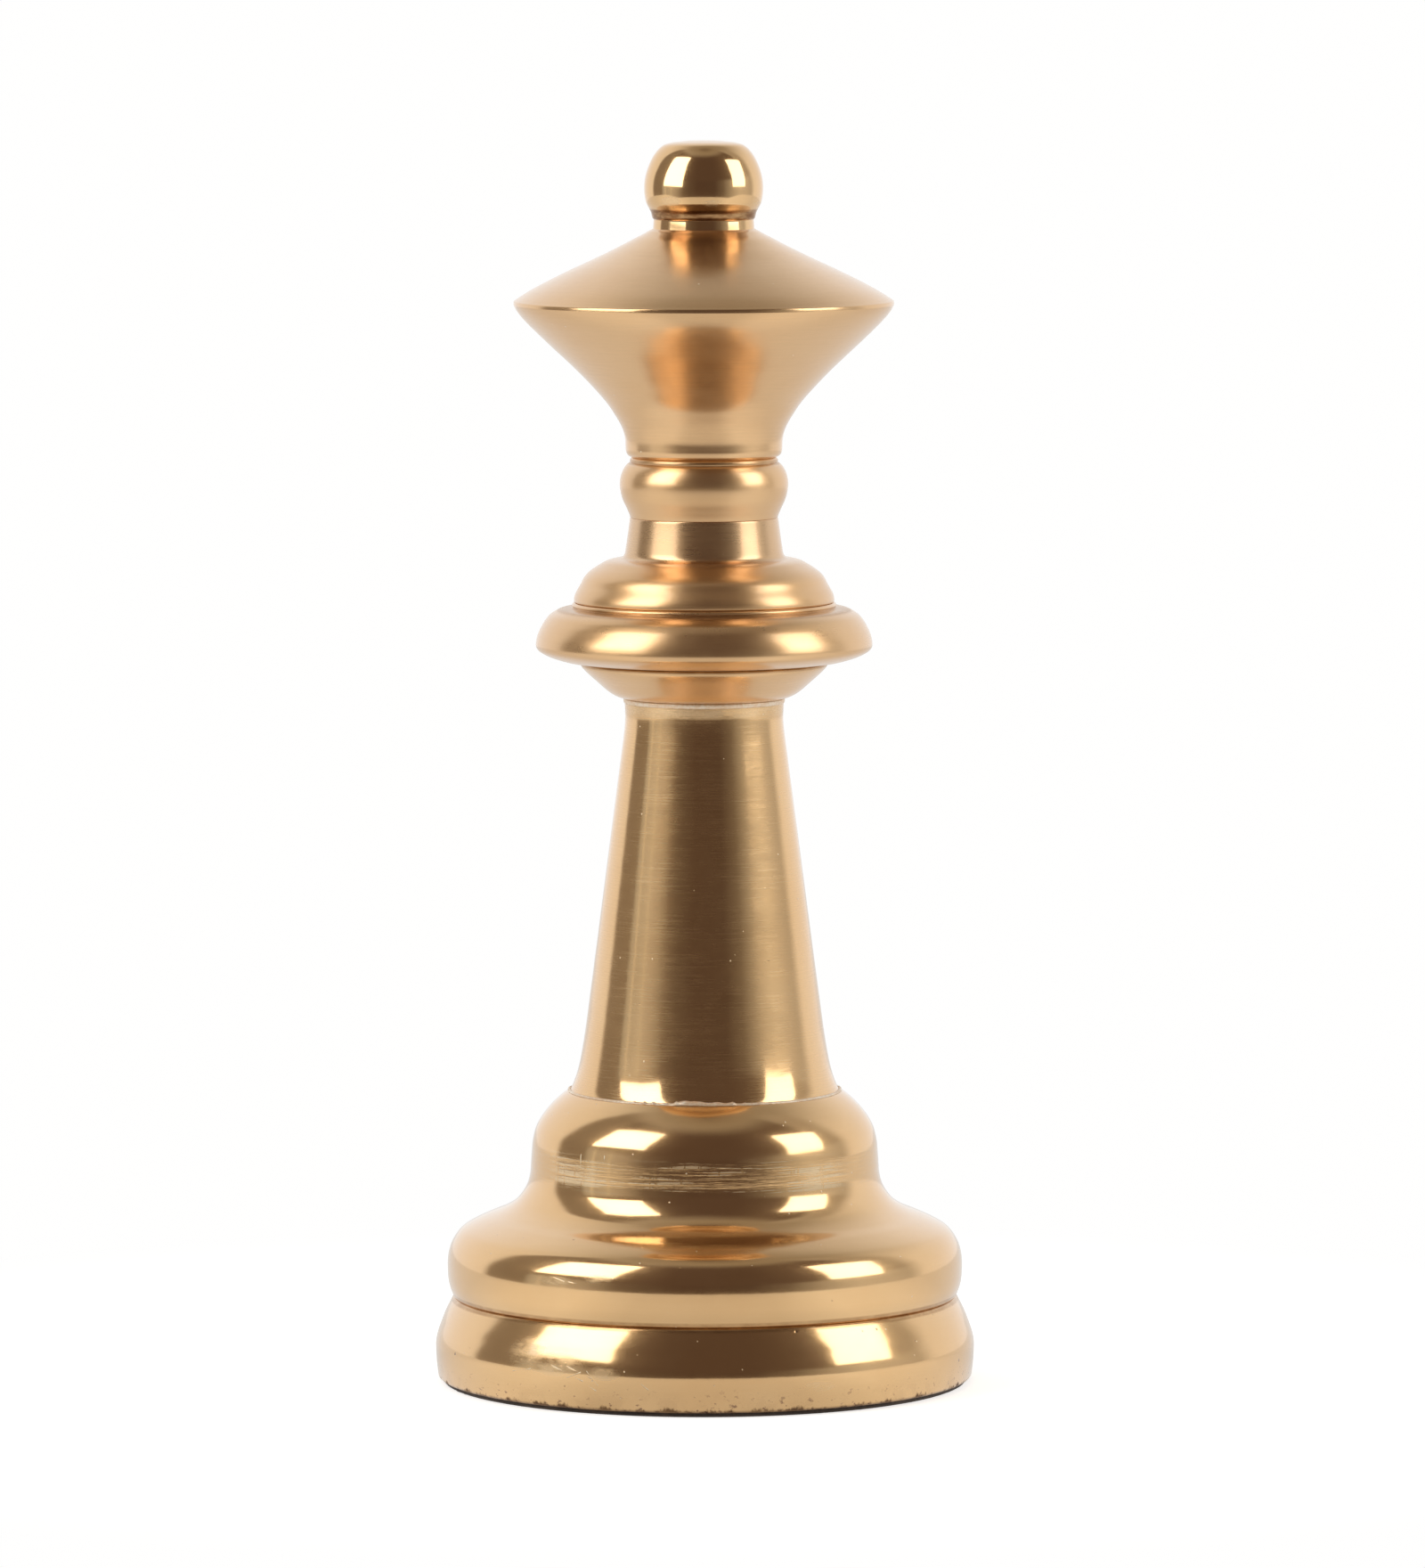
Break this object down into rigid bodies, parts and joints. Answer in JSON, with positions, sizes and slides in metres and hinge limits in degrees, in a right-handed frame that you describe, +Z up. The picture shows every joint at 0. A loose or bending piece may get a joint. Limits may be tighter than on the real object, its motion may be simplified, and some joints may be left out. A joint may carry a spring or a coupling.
{
  "type": "giant chess piece",
  "caption": "Tall turned queen-style lawn chess piece: stepped round base, tapered stem, rolled collars, beaded neck, flared crown with cone cap and a ball finial that unscrews.",
  "frame": {"origin": "centre of the underside of the base pad, where the piece stands on the lawn or board", "axes": "+Z up along the turning axis; the piece is round, so +X and +Y are free, and -Y is taken as the front"},
  "size_m": [0.2522, 0.2522, 0.58],
  "materials": {
    "gold_polished": "polished casting under gold-tinted clear lacquer, fine scratches, pits and dust nibs",
    "gold_satin": "satin casting under gold-tinted lacquer, soft reflections and faint turning marks",
    "gold_brushed": "turned taper with fine horizontal brushing under gold-tinted lacquer",
    "sealer": "cured clear sealer squeezed out of the joint, uneven",
    "rubber_pad": "matt black sheet rubber",
    "painted_steel": "black powder coat",
    "zinc_steel": "bright zinc plate",
    "ballast_iron": "as cast, dark",
    "nylon": "natural nylon, turned"
  },
  "bodies": {
    "column": {"base_pad": "rubber_pad", "base_cover": "painted_steel", "cover_screws": "zinc_steel", "plinth": "gold_polished", "ballast_ring": "ballast_iron", "ballast_screws": "zinc_steel", "base_bell": "gold_polished", "stem_foot_seal": "sealer", "stem": "gold_brushed", "stem_top_seal": "sealer", "capital": "gold_satin", "lower_collar": "gold_satin", "upper_collar": "gold_satin", "neck_sleeve": "gold_polished", "neck_bead": "gold_satin", "crown_bowl": "gold_satin", "crown_cap": "gold_satin", "tie_rod": "zinc_steel", "clamp_plate": "zinc_steel", "rod_washers": "zinc_steel", "spring_washer": "zinc_steel", "rod_nuts": "zinc_steel", "rod_guide_lower": "nylon", "rod_guide_upper": "nylon"},
    "captive_washer": {"finial_washer": "nylon"},
    "finial": {"finial": "gold_polished"}
  },
  "joints": [
    {"name": "finial_lift", "type": "slide", "parent": "column", "child": "captive_washer", "axis": [0, 0, 1], "range_m": [0, 0.01401]},
    {"name": "finial_turn", "type": "hinge", "parent": "captive_washer", "child": "finial", "pos_m": [0, 0, 0.5535], "axis": [0, 0, 1], "range_deg": [0, 2880]}
  ],
  "couplings": [
    {"joint": "finial_lift", "follows": "finial_turn", "m_per_rad": 0.00027852}
  ]
}
